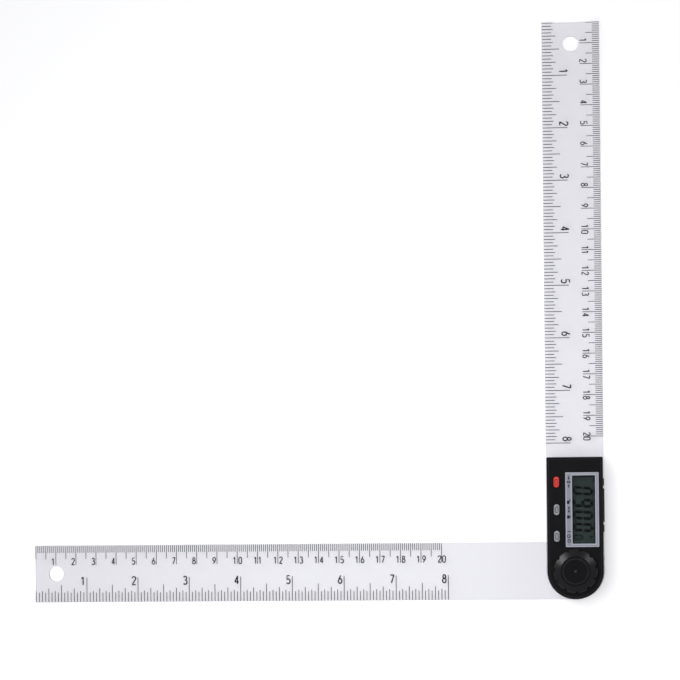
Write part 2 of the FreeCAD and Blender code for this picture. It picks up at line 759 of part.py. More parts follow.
def make_button(name):
    """One stadium-shaped button cap with a retaining flange, and the plunger under it."""
    cap = new_body(f"{name}_button", "-button_x", f"{name}_button_y", "cap_flange_bottom")
    tall = "case_top + button_proud - cap_flange_bottom"
    pad(cap, "", "button_flange_thick", draw_stadium, *ORIGIN,
        "button_radius + button_flange", "button_length + 2 * button_flange")
    pad(cap, "", tall, draw_stadium, *ORIGIN, "button_radius", "button_length")
    break_edges(cap, "Fillet", "button_edge", tall)
    pocket(cap, f"{tall} + overrun", "dimple_depth + overrun", draw_stadium, *ORIGIN,
           "dimple_radius", "dimple_length")
    plunger = new_body(f"{name}_plunger", "-button_x", f"{name}_button_y", "plunger_bottom")
    pad(plunger, "", "plunger_height", draw_circle, *ORIGIN, "plunger_radius")


def make_switch_bodies():
    """Three low push switches on the board, hollow for their plungers."""
    switches = []
    for name in ("zero", "hold", "power"):
        x, y = "-button_x", f"{name}_button_y"
        shell = make_box(f"{name}_switch_shell", x, y, "board_top",
                         "2 * switch_half", "2 * switch_half", "switch_height")
        well = make_cylinder(f"{name}_switch_well", x, y, "board_top + switch_floor",
                             "plunger_radius + running_gap", "switch_height + overrun")
        switches.append(join("Cut", f"{name}_switch", shell, well))
    make_group("switch_bodies", switches)


def make_battery_drawer():
    """Sliding tray for the coin cell, with its front, grip and two finger bumps."""
    body = new_body("battery_drawer", y="drawer_y", z="drawer_bottom")
    tray_x = "(front_inner - tray_end) / 2"
    well = ("tray_height + overrun", "tray_height - drawer_floor + overrun")
    pad(body, "", "tray_height", draw_rectangle, tray_x, ZERO, "front_inner + tray_end", "tray_width")
    pad(body, "", "front_height", draw_rectangle, "front_inner + front_thick / 2", ZERO,
        "front_thick", "front_length")
    pad(body, "grip_margin", "front_height - 2 * grip_margin", draw_rectangle,
        "case_radius + grip_proud / 2", ZERO, "grip_proud", "grip_length")
    for side in ("-", ""):
        pad(body, "grip_margin", "front_height - 2 * grip_margin", draw_rectangle,
            "case_radius + bump_proud / 2", f"{side}(front_length - bump_length) / 2",
            "bump_proud", "bump_length")
    break_edges(body, "Chamfer", "grip_edge", "grip_margin", "front_height - grip_margin")
    pocket(body, *well, draw_circle, "coin_x", ZERO, "coin_radius + seat_gap")
    pocket(body, *well, draw_rectangle, "-tray_end", ZERO, "2 * tray_window_depth", "tray_window")


def make_coin_cell():
    """Button cell with a stepped upper face."""
    body = new_body("coin_cell", "coin_x", "drawer_y", "coin_bottom")
    pad(body, "", "coin_thick - coin_rim", draw_circle, *ORIGIN, "coin_radius")
    pad(body, "coin_thick - coin_rim", "coin_rim", draw_circle, *ORIGIN, "coin_radius - coin_step")


def make_contacts():
    """Spring strip over the cell, and upright tab at its rim, both hung from the board."""
    make_block("contact_negative", "coin_x", "drawer_y", "coin_top + contact_gap",
               "contact_length", "contact_width", "board_bottom - coin_top - contact_gap")
    make_block("contact_positive", "coin_x - coin_radius - contact_gap - contact_thick / 2", "drawer_y",
               "coin_bottom + contact_foot", "contact_thick", "contact_width",
               "board_bottom - coin_bottom - contact_foot")
    make_block("controller_chip", "-chip_x", "chip_y", "board_bottom - chip_thick",
               "chip_size", "chip_size", "chip_thick")


def make_thrust_washer():
    """Washer that rides under the knob's insert, inside the case's hole."""
    body = new_body("thrust_washer", z="washer_bottom")
    pad(body, "", "washer_thick", draw_circle, *ORIGIN, "hub_radius")
    pocket(body, "washer_thick + overrun", "washer_thick + 2 * overrun",
           draw_circle, *ORIGIN, "stud_thread_radius + washer_inner_gap")


def make_lock_knob():
    """Scalloped knob with a sloping shoulder, a seat for the cap and a relief underneath."""
    body = new_body("lock_knob", z="knob_bottom")
    revolve(body, [
        ("insert_radius", ZERO),
        ("knob_radius", ZERO),
        ("knob_radius", "knob_skirt"),
        ("knob_face_radius", "knob_height"),
        ("cap_radius + seat_gap", "knob_height"),
        ("cap_radius + seat_gap", "knob_height - cap_thick"),
        ("insert_radius", "knob_height - cap_thick"),
    ])
    break_edges(body, "Fillet", "knob_round", ZERO, "knob_skirt")
    scallop = pocket(body, "knob_height + overrun", "knob_height + 2 * overrun",
                     draw_circle, "scallop_x", "scallop_y", "scallop_radius")
    pattern = body.newObject("PartDesign::PolarPattern", "Scallops")
    pattern.Originals = [scallop]
    pattern.Axis = (origin_feature(body, "Z_Axis"), [""])
    pattern.Occurrences = SCALLOPS
    body.Tip = pattern
    doc.recompute()
    ring = pocket(body, "knob_relief_depth", "knob_relief_depth + overrun",
                  draw_circle, *ORIGIN, "knob_relief_outer")
    draw_circle(ring.Profile[0], *ORIGIN, "knob_relief_inner")
    doc.recompute()


def make_knob_insert():
    """Threaded brass insert in the knob."""
    body = new_body("knob_insert", z="insert_bottom")
    pad(body, "", "insert_height", draw_circle, *ORIGIN, "insert_radius")
    pocket(body, "insert_height + overrun", "insert_height + 2 * overrun",
           draw_circle, *ORIGIN, "insert_bore")


def make_knob_cap():
    """Flat disc that closes the knob, with a fine ring and a small dimple."""
    body = new_body("knob_cap", z="cap_bottom")
    pad(body, "", "cap_thick", draw_circle, *ORIGIN, "cap_radius")
    ring = pocket(body, "cap_thick + overrun", "cap_ring_depth + overrun",
                  draw_circle, *ORIGIN, "cap_ring_radius")
    draw_circle(ring.Profile[0], *ORIGIN, "cap_ring_radius - cap_ring_width")
    doc.recompute()
    pocket(body, "cap_thick + overrun", "cap_ring_depth + overrun", draw_circle, *ORIGIN, "cap_dimple_radius")


make_lower_blade()
make_upper_blade()
make_pivot_stud()
make_friction_washer()
make_pivot_bushing()
make_rotor_hub()
make_rotor_disc()
make_back_plate()
make_front_case()
make_circuit_board()
make_screws()
make_display()
for button in ("zero", "hold", "power"):
    make_button(button)
make_switch_bodies()
make_battery_drawer()
make_coin_cell()
make_contacts()
make_thrust_washer()
make_lock_knob()
make_knob_insert()
make_knob_cap()
doc.recompute()

failed = [item.Name for item in doc.Objects if "Invalid" in item.State or "Error" in item.State]
if failed:
    raise RuntimeError(f"failed objects: {failed}")
for part in parts:
    if part.Shape.isNull() or not part.Shape.isValid():
        raise RuntimeError(f"bad shape: {part.Label}")

os.makedirs("parts", exist_ok=True)
for part in parts:
    part.Shape.exportStep(f"parts/{part.Label}.step")
    print(part.Label, len(part.Shape.Solids), round(part.Shape.Volume, 2))
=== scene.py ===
# %% [markdown]
# # A digital angle finder with two clear arms
#
# The tool lies flat on a table. Two clear acrylic blades share one pivot: the lower one lies to the left
# and the upper one points up the picture. The upper blade carries a black head with a liquid crystal
# display, three buttons and a battery drawer, and a black knob over the pivot locks the angle.
#
# The engineering model has every piece at its real size. This notebook gives each one its finish, and
# adds what a printer or a display maker puts on them: ruled scales, numerals, symbols and digits.

# %% [markdown]
# ## The frame
#
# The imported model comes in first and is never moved. Its objects sit at the origin, which is the foot of
# the pivot, and +Z points up. The length unit is the metre, so every size below is a number of
# millimetres times MM. The model's own box is kept, to compare with the finished one at the end.

# %% Load the model
import json
import math

import bmesh
import bpy
from mathutils import Matrix, Vector


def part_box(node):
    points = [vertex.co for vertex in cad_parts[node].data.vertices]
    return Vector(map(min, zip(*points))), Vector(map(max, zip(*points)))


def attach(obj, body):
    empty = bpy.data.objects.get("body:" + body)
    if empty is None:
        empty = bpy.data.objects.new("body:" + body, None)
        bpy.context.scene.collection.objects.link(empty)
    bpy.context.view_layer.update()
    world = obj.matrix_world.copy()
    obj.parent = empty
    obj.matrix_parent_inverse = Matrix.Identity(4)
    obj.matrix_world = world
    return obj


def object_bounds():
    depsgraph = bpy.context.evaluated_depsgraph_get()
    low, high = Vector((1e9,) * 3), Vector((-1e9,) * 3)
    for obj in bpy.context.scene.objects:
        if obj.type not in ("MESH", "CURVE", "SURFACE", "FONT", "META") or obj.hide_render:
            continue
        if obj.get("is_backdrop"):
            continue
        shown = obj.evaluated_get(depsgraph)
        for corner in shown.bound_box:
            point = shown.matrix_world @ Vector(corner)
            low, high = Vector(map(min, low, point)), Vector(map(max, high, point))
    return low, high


MM = 0.001

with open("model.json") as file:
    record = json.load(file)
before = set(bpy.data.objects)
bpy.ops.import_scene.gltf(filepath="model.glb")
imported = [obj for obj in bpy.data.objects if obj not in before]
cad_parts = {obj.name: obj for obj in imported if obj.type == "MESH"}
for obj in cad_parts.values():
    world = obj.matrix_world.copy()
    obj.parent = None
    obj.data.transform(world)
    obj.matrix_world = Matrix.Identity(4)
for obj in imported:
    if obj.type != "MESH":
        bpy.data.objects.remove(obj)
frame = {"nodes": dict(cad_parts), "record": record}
nodes = frame["nodes"]
cad_low, cad_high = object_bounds()
print("pieces:", len(nodes), "size in mm:", [round(side / MM, 1) for side in cad_high - cad_low])

# %% [markdown]
# ## Colours and nodes
#
# A colour picked from a screen is an sRGB value, and Cycles counts light in linear steps, so one function
# turns a hex colour to linear. A second adds a node with its settings, and fills its inputs with plain
# values or with links. Every material and every geometry tree below is built with that one.

# %% Two helpers
def linear(colour):
    """An sRGB hex colour as linear red, green and blue, with full alpha."""
    shares = [int(colour[start:start + 2], 16) / 255 for start in (1, 3, 5)]
    return [s / 12.92 if s <= 0.04045 else ((s + 0.055) / 1.055) ** 2.4 for s in shares] + [1.0]


def add_node(tree, kind, inputs=None, **settings):
    """Adds a node, applies its settings, and fills its inputs with values or links."""
    node = tree.nodes.new(kind)
    for name, setting in settings.items():
        setattr(node, name, setting)
    for key, content in (inputs or {}).items():
        if isinstance(content, bpy.types.NodeSocket):
            tree.links.new(content, node.inputs[key])
        else:
            node.inputs[key].default_value = content
    return node


def start_material(name):
    """A new material with an empty tree."""
    material = bpy.data.materials.new(name)
    material.use_nodes = True
    material.node_tree.nodes.clear()
    return material, material.node_tree


print("middle grey in linear light:", round(linear("#808080")[0], 3))

# %% [markdown]
# ## The camera
#
# The photograph was taken from straight above, about one and a quarter metres away, with a long lens.
# Where the camera stood was worked out from the ruled marks, whose spacing is known: they are a little
# closer together on the left, so the camera stood over the pivot and leaned to the left. The picture was
# cropped afterwards, so the lens's own centre lies below the middle of the frame. The camera's shift says
# by how much, as a share of the frame's width. The lens is given for a sensor 36 mm wide, Blender's own.

# %% Camera
CAMERA_PLACE = Vector((5.1, 36.0, 1264.5)) * MM
CAMERA_LOOK = Vector((-0.09387, 0.01095, -0.99552)).normalized()
CAMERA_UP = Vector((0.01025, 0.9999, 0.01003))
LENS_MM = 137.75
LENS_SHIFT = 0.1907

camera = bpy.data.objects.new("camera", bpy.data.cameras.new("camera"))
camera.data.lens = LENS_MM
camera.data.shift_y = LENS_SHIFT
across = CAMERA_LOOK.cross(CAMERA_UP).normalized()
upward = across.cross(CAMERA_LOOK)
turn = Matrix((across, upward, -CAMERA_LOOK)).transposed()
camera.matrix_world = Matrix.Translation(CAMERA_PLACE) @ turn.to_4x4()
bpy.context.scene.collection.objects.link(camera)
bpy.context.scene.camera = camera
bpy.context.scene.view_settings.view_transform = "Standard"
print("camera height in mm:", round(CAMERA_PLACE.z / MM))

# %% [markdown]
# ## Floor and light
#
# The tool lies on a white table. A white diffuse floor alone would need more light than the tool should
# have, so a little of the floor's white is its own glow, and only rays that end at the eye, in a gloss or
# behind clear plastic see that glow. The rest is true reflected light, which keeps the soft shadow.
#
# The room is a plain dome, bright near the horizon and darker overhead, as where a camera hangs over a
# table between white walls. Black plastic mirrors whatever is straight above it, so the dark top keeps
# the case black, and the bright rim draws its bevels. Two wide soft boxes stand far off at the upper left
# and the upper right, because the photograph shows the knob's slope shining on those two sides. A small
# one hangs low over the left arm, close to the head: the photograph's blades are brightest round there,
# and grow darker towards the far end of the upper one. The eye, glossy faces and clear ones don't see it,
# as they wouldn't see a lamp behind a diffuser beside the camera.

# %% Floor
FLOOR_HALF = 4.0
FLOOR_DROP = 0.2 * MM
FLOOR_WHITE = "#f4f4f6"
FLOOR_GLOW = 0.495


def seen_rays(tree):
    """1 for rays from the eye, in a gloss or behind clear plastic, else 0."""
    path = add_node(tree, "ShaderNodeLightPath")
    either = add_node(tree, "ShaderNodeMath", {
        0: path.outputs["Is Camera Ray"], 1: path.outputs["Is Glossy Ray"]}, operation="MAXIMUM")
    return add_node(tree, "ShaderNodeMath", {
        0: either.outputs[0], 1: path.outputs["Is Transmission Ray"]}, operation="MAXIMUM").outputs[0]


def make_floor():
    """A wide square just under the blades, white with a small glow of its own."""
    material, tree = start_material("white_table")
    body = add_node(tree, "ShaderNodeBsdfDiffuse", {"Color": linear(FLOOR_WHITE)})
    strength = add_node(tree, "ShaderNodeMath", {0: seen_rays(tree), 1: FLOOR_GLOW}, operation="MULTIPLY")
    glow = add_node(tree, "ShaderNodeEmission", {"Strength": strength.outputs[0]})
    both = add_node(tree, "ShaderNodeAddShader", {0: body.outputs[0], 1: glow.outputs[0]})
    add_node(tree, "ShaderNodeOutputMaterial", {"Surface": both.outputs[0]})
    signs = ((-1, -1), (1, -1), (1, 1), (-1, 1))
    corners = [(x * FLOOR_HALF, y * FLOOR_HALF, -FLOOR_DROP) for x, y in signs]
    mesh = bpy.data.meshes.new("floor")
    mesh.from_pydata(corners, [], [(0, 1, 2, 3)])
    mesh.materials.append(material)
    floor = bpy.data.objects.new("floor", mesh)
    bpy.context.scene.collection.objects.link(floor)
    floor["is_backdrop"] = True


make_floor()
print("floor side in m:", 2 * FLOOR_HALF)

# %% Room and soft boxes
DOME_RIM = "#d6d7da"
DOME_TOP = "#4c4d52"
DOME_STRENGTH = 0.62
BACKDROP_WHITE = "#ffffff"
BACKDROP_STRENGTH = 1.0
SOFT_BOXES = {
    "left_box": {"turn": 140, "height": 24, "away": 2.5, "side": 1.0, "watts": 16.5},
    "right_box": {"turn": 42, "height": 24, "away": 2.5, "side": 0.8, "watts": 5.5},
    "near_box": {"turn": 158, "height": 74, "away": 0.35, "side": 0.25, "watts": 0.71},
}
HIDDEN_BOX = "near_box"


def make_dome():
    """A world that is bright at the horizon, darker overhead, and white where the eye meets it."""
    world = bpy.data.worlds.new("studio")
    world.use_nodes = True
    tree = world.node_tree
    tree.nodes.clear()
    direction = add_node(tree, "ShaderNodeTexCoord").outputs["Generated"]
    height = add_node(tree, "ShaderNodeSeparateXYZ", {0: direction}).outputs["Z"]
    shade = add_node(tree, "ShaderNodeMix", {
        "Factor": height, "A": linear(DOME_RIM), "B": linear(DOME_TOP)}, data_type="RGBA")
    room = add_node(tree, "ShaderNodeBackground", {
        "Color": shade.outputs["Result"], "Strength": DOME_STRENGTH})
    backdrop = add_node(tree, "ShaderNodeBackground", {
        "Color": linear(BACKDROP_WHITE), "Strength": BACKDROP_STRENGTH})
    path = add_node(tree, "ShaderNodeLightPath")
    mixed = add_node(tree, "ShaderNodeMixShader", {
        0: path.outputs["Is Camera Ray"], 1: room.outputs[0], 2: backdrop.outputs[0]})
    add_node(tree, "ShaderNodeOutputWorld", {"Surface": mixed.outputs[0]})
    bpy.context.scene.world = world


def make_soft_box(name, turn, height, away, side, watts):
    """A square lamp that looks at the pivot, from a turn and a height over the table in degrees."""
    lamp = bpy.data.lights.new(name, "AREA")
    lamp.size = side
    lamp.energy = watts
    around, above = math.radians(turn), math.radians(height)
    place = Vector((math.cos(around) * math.cos(above), math.sin(around) * math.cos(above),
                    math.sin(above))) * away
    box = bpy.data.objects.new(name, lamp)
    box.location = place
    box.rotation_euler = (-place).to_track_quat("-Z", "Y").to_euler()
    bpy.context.scene.collection.objects.link(box)
    return box


make_dome()
for box_name, sizes in SOFT_BOXES.items():
    soft_box = make_soft_box(box_name, **sizes)
    soft_box.visible_camera = box_name != HIDDEN_BOX
    soft_box.visible_glossy = box_name != HIDDEN_BOX
    soft_box.visible_transmission = box_name != HIDDEN_BOX
print("lamps:", list(SOFT_BOXES))

# %% [markdown]
# ## Clear cast acrylic
#
# The blades and the display's window are acrylic sheet, cut and polished. It bends light with an index of
# 1.49, has a faint lavender cast in this tool, and its faces are never quite flat, so a very shallow wave
# moves the reflections. Light on its way to or from the floor passes straight through it, only tinted,
# because real clear sheet throws a pale shadow, and following bent light there would take far too long.
# Both kinds of ray that carry such light, shadow and diffuse, pass this way. If one of them were bent,
# the floor below the sheet would be lit twice.
#
# Patterns are laid out on the piece's own coordinates, turned to millimetres.

# %% Acrylic
ACRYLIC_IOR = 1.49
BLADE_TINT = "#e7e6ea"
BLADE_SHADE = "#f9f9fa"
WINDOW_TINT = "#f4f6f6"
WAVE_MM = 28.0
WAVE_DEPTH_MM = 0.004


def in_millimetres(tree):
    """The piece's own coordinates, in millimetres."""
    place = add_node(tree, "ShaderNodeTexCoord").outputs["Object"]
    scaled = add_node(tree, "ShaderNodeVectorMath", {0: place, "Scale": 1 / MM}, operation="SCALE")
    return scaled.outputs[0]


def cast_acrylic(name, tint, shade, roughness):
    """Clear sheet with a tint, shallow waves and a pale shadow."""
    material, tree = start_material(name)
    wave = add_node(tree, "ShaderNodeTexNoise", {
        "Vector": in_millimetres(tree), "Scale": 1 / WAVE_MM, "Detail": 1.0})
    bump = add_node(tree, "ShaderNodeBump", {
        "Height": wave.outputs[0], "Distance": WAVE_DEPTH_MM * MM})
    clear = add_node(tree, "ShaderNodeBsdfPrincipled", {
        "Base Color": linear(tint), "Roughness": roughness, "IOR": ACRYLIC_IOR,
        "Transmission Weight": 1.0, "Normal": bump.outputs[0]})
    passing = add_node(tree, "ShaderNodeBsdfTransparent", {"Color": linear(shade)})
    path = add_node(tree, "ShaderNodeLightPath")
    straight = add_node(tree, "ShaderNodeMath", {
        0: path.outputs["Is Shadow Ray"], 1: path.outputs["Is Diffuse Ray"]}, operation="MAXIMUM")
    mixed = add_node(tree, "ShaderNodeMixShader", {
        0: straight.outputs[0], 1: clear.outputs[0], 2: passing.outputs[0]})
    add_node(tree, "ShaderNodeOutputMaterial", {"Surface": mixed.outputs[0]})
    return material


finishes = {
    "blade_clear": cast_acrylic("cast_acrylic_blade", BLADE_TINT, BLADE_SHADE, 0.05),
    "window_clear": cast_acrylic("cast_acrylic_window", WINDOW_TINT, WINDOW_TINT, 0.02),
}
print("clear finishes:", list(finishes))

# %% [markdown]
# ## Moulded plastics
#
# Case, drawer, knob, buttons, bezel, hub and washers are all moulded. What sets them apart is colour, how
# the mould was finished, and how much a hand has polished them. A spark-eroded mould leaves a fine even
# grain, which is drawn here a little coarser than the real 0.05 mm so that it shows. A slower noise
# shifts the roughness and the colour by a few percent, as flow in the mould and handling do.

# %% Plastics
PLASTIC_IOR = 1.5
CLOUD_MM = 7.0


def moulded_plastic(name, colour, roughness, grain_mm, grain_depth_mm, shift=0.06):
    """Opaque plastic with a mould's grain, and a slow shift in colour and roughness."""
    material, tree = start_material(name)
    place = in_millimetres(tree)
    grain = add_node(tree, "ShaderNodeTexNoise", {
        "Vector": place, "Scale": 1 / grain_mm, "Detail": 2.0})
    bump = add_node(tree, "ShaderNodeBump", {
        "Height": grain.outputs[0], "Distance": grain_depth_mm * MM})
    cloud = add_node(tree, "ShaderNodeTexNoise", {
        "Vector": place, "Scale": 1 / CLOUD_MM, "Detail": 3.0})
    gloss = add_node(tree, "ShaderNodeMapRange", {
        "Value": cloud.outputs[0], "To Min": roughness - shift, "To Max": roughness + shift})
    dark = [share * (1 - shift) for share in linear(colour)[:3]] + [1.0]
    light = [min(1.0, share * (1 + shift)) for share in linear(colour)[:3]] + [1.0]
    paint = add_node(tree, "ShaderNodeMix", {
        "Factor": cloud.outputs[0], "A": dark, "B": light}, data_type="RGBA")
    surface = add_node(tree, "ShaderNodeBsdfPrincipled", {
        "Base Color": paint.outputs["Result"], "Roughness": gloss.outputs[0], "IOR": PLASTIC_IOR,
        "Normal": bump.outputs[0]})
    add_node(tree, "ShaderNodeOutputMaterial", {"Surface": surface.outputs[0]})
    return material


# Each row: material's name, colour, roughness, grain and the grain's depth in millimetres
finishes |= {
    "case_black": moulded_plastic("moulded_abs_case", "#111113", 0.42, 0.22, 0.006),
    "knob_black": moulded_plastic("moulded_abs_knob", "#131315", 0.32, 0.3, 0.004),
    "bezel_grey": moulded_plastic("painted_abs_bezel", "#9596a4", 0.4, 0.25, 0.002),
    "button_red": moulded_plastic("moulded_abs_red", "#ec3c38", 0.36, 0.25, 0.003),
    "button_grey": moulded_plastic("moulded_abs_grey", "#a0a5a9", 0.36, 0.25, 0.003),
    "washer_white": moulded_plastic("acetal_natural", "#e6e5e0", 0.35, 0.3, 0.002),
    "hub_white": moulded_plastic("acetal_hub", "#dddcd6", 0.38, 0.3, 0.002),
    "chip_black": moulded_plastic("moulded_epoxy", "#1a1a1b", 0.5, 0.15, 0.004),
}
print("finishes so far:", len(finishes))

# %% [markdown]
# ## Metals, board, display cell and rubber
#
# The stud, the bush and the insert are turned on a lathe, which leaves rings about the pivot. The rings
# are measured from the pivot's axis, so on the screws and the cell, which stand beside it, they pass as
# the straight lines of brushing. The board is glass epoxy under green lacquer, with copper tracks that
# show a little lighter. The rubber strip under the display is sliced from conducting and plain layers.
# The display cell is glass with a dark grey-green film behind it, which a clear front film makes glossy.

# %% Metals
RING_DEPTH_MM = 0.006
RING_GLOSS_SHIFT = 0.1


def turned_metal(name, colour, roughness, ring_mm):
    """Metal with fine rings about the pivot in its height and gloss."""
    material, tree = start_material(name)
    flat = add_node(tree, "ShaderNodeVectorMath", {0: in_millimetres(tree), 1: (1, 1, 0)},
                    operation="MULTIPLY")
    radius = add_node(tree, "ShaderNodeVectorMath", {0: flat.outputs[0]}, operation="LENGTH")
    count = add_node(tree, "ShaderNodeMath", {
        0: radius.outputs["Value"], 1: 2 * math.pi / ring_mm}, operation="MULTIPLY")
    wave = add_node(tree, "ShaderNodeMath", {0: count.outputs[0]}, operation="SINE")
    bump = add_node(tree, "ShaderNodeBump", {
        "Height": wave.outputs[0], "Distance": RING_DEPTH_MM * MM})
    gloss = add_node(tree, "ShaderNodeMapRange", {
        "Value": wave.outputs[0], "From Min": -1.0, "To Min": roughness,
        "To Max": roughness + RING_GLOSS_SHIFT})
    surface = add_node(tree, "ShaderNodeBsdfPrincipled", {
        "Base Color": linear(colour), "Metallic": 1.0, "Roughness": gloss.outputs[0],
        "Normal": bump.outputs[0]})
    add_node(tree, "ShaderNodeOutputMaterial", {"Surface": surface.outputs[0]})
    return material


finishes |= {
    "steel": turned_metal("nickel_plated_steel", "#c9c8c6", 0.28, 0.5),
    "brass": turned_metal("turned_brass", "#d9b56c", 0.25, 0.4),
    "spring_metal": turned_metal("tinned_spring_bronze", "#cfc8b4", 0.3, 0.6),
}
print("finishes so far:", len(finishes))

# %% Board, display cell and rubber strip
TRACK_ROW_MM = 2.2
TRACK_LENGTH_MM = 9.0
TRACK_WIDTH_MM = 0.3
TRACK_STEP_MM = 0.03
LAYER_MM = 0.4
WAVE_TEXTURE_RATE = 20
FILM_CLOUD_MM = 14.0


def lacquered_board(name):
    """Green lacquer with lighter copper tracks under it."""
    material, tree = start_material(name)
    tracks = add_node(tree, "ShaderNodeTexBrick", {
        "Vector": in_millimetres(tree), "Color1": linear("#0f4a26"), "Color2": linear("#12522b"),
        "Mortar": linear("#2f7a48"), "Scale": 1.0, "Mortar Size": TRACK_WIDTH_MM,
        "Brick Width": TRACK_LENGTH_MM, "Row Height": TRACK_ROW_MM})
    bump = add_node(tree, "ShaderNodeBump", {
        "Height": tracks.outputs["Fac"], "Distance": TRACK_STEP_MM * MM})
    surface = add_node(tree, "ShaderNodeBsdfPrincipled", {
        "Base Color": tracks.outputs["Color"], "Roughness": 0.3, "Normal": bump.outputs[0]})
    add_node(tree, "ShaderNodeOutputMaterial", {"Surface": surface.outputs[0]})
    return material


def display_cell(name):
    """Dark grey-green film seen through glossy glass, a little uneven."""
    material, tree = start_material(name)
    cloud = add_node(tree, "ShaderNodeTexNoise", {
        "Vector": in_millimetres(tree), "Scale": 1 / FILM_CLOUD_MM, "Detail": 2.0})
    film = add_node(tree, "ShaderNodeMix", {
        "Factor": cloud.outputs[0], "A": linear("#323d3b"), "B": linear("#3e4846")}, data_type="RGBA")
    surface = add_node(tree, "ShaderNodeBsdfPrincipled", {
        "Base Color": film.outputs["Result"], "Roughness": 0.22, "IOR": 1.52})
    add_node(tree, "ShaderNodeOutputMaterial", {"Surface": surface.outputs[0]})
    return material


def layered_rubber(name):
    """Silicone strip sliced along Y in dark and pale layers, one pair in each layer's pitch."""
    material, tree = start_material(name)
    layers = add_node(tree, "ShaderNodeTexWave", {
        "Vector": in_millimetres(tree), "Scale": 1 / LAYER_MM / WAVE_TEXTURE_RATE * 2 * math.pi},
        bands_direction="Y")
    paint = add_node(tree, "ShaderNodeMix", {
        "Factor": layers.outputs["Fac"], "A": linear("#1d1d1f"), "B": linear("#b9b2ab")}, data_type="RGBA")
    surface = add_node(tree, "ShaderNodeBsdfPrincipled", {
        "Base Color": paint.outputs["Result"], "Roughness": 0.6})
    add_node(tree, "ShaderNodeOutputMaterial", {"Surface": surface.outputs[0]})
    return material


finishes |= {
    "board_green": lacquered_board("lacquered_board"),
    "display_glass": display_cell("display_cell"),
    "connector_rubber": layered_rubber("layered_silicone"),
}
print("finishes in all:", len(finishes))

# %% [markdown]
# ## Dressing the model's own pieces
#
# The record that came with the model says which finish each piece has, so one loop hands them out.

# %% Hand out the finishes
for row in frame["record"]["subparts"]:
    for place in nodes[row["node"]].material_slots:
        place.material = finishes[row["material_slot"]]

# %% [markdown]
# ## Printing ink
#
# Scales and symbols are screen printed. The ink dries as a film about 0.02 mm thick, almost black and
# nearly matt, so each print is a real thin solid that stands on what carries it.

# %% Ink
INK_MM = 0.02
INK_TOOTH_SCALE = 6.0
INK_GLOSS_SHIFT = 0.1


def print_ink(name, colour, roughness):
    """Thin dried ink with a fine tooth."""
    material, tree = start_material(name)
    tooth = add_node(tree, "ShaderNodeTexNoise", {
        "Vector": in_millimetres(tree), "Scale": INK_TOOTH_SCALE})
    gloss = add_node(tree, "ShaderNodeMapRange", {
        "Value": tooth.outputs[0], "To Min": roughness - INK_GLOSS_SHIFT,
        "To Max": roughness + INK_GLOSS_SHIFT})
    surface = add_node(tree, "ShaderNodeBsdfPrincipled", {
        "Base Color": linear(colour), "Roughness": gloss.outputs[0], "IOR": PLASTIC_IOR})
    add_node(tree, "ShaderNodeOutputMaterial", {"Surface": surface.outputs[0]})
    return material


scale_ink = print_ink("screen_ink_scale", "#101014", 0.55)
symbol_ink = print_ink("screen_ink_symbols", "#101018", 0.5)
segment_ink = print_ink("display_segment", "#050808", 0.3)
print("inks:", scale_ink.name, symbol_ink.name, segment_ink.name)

# %% [markdown]
# ## The ruled scales
#
# Each blade has 200 mm along one edge and 8 inches along the other, with the zero at its free end. A
# scale is one bar repeated at a fixed spacing, and only its length follows a rule: every fifth
# millimetre is longer and every tenth longer still, and an inch is halved four times over. That is work
# for Geometry Nodes: a line of points, a length worked out from each point's number, and one bar set on
# every point. The tree is built once, with named inputs, and serves both scales.
#
# The first mark has a length of its own. After it, each step that divides the mark's number sets the
# length, and the later, coarser steps win.

# %% Scale tree
STEPS = ("Fine", "Middle", "Coarse", "Full")


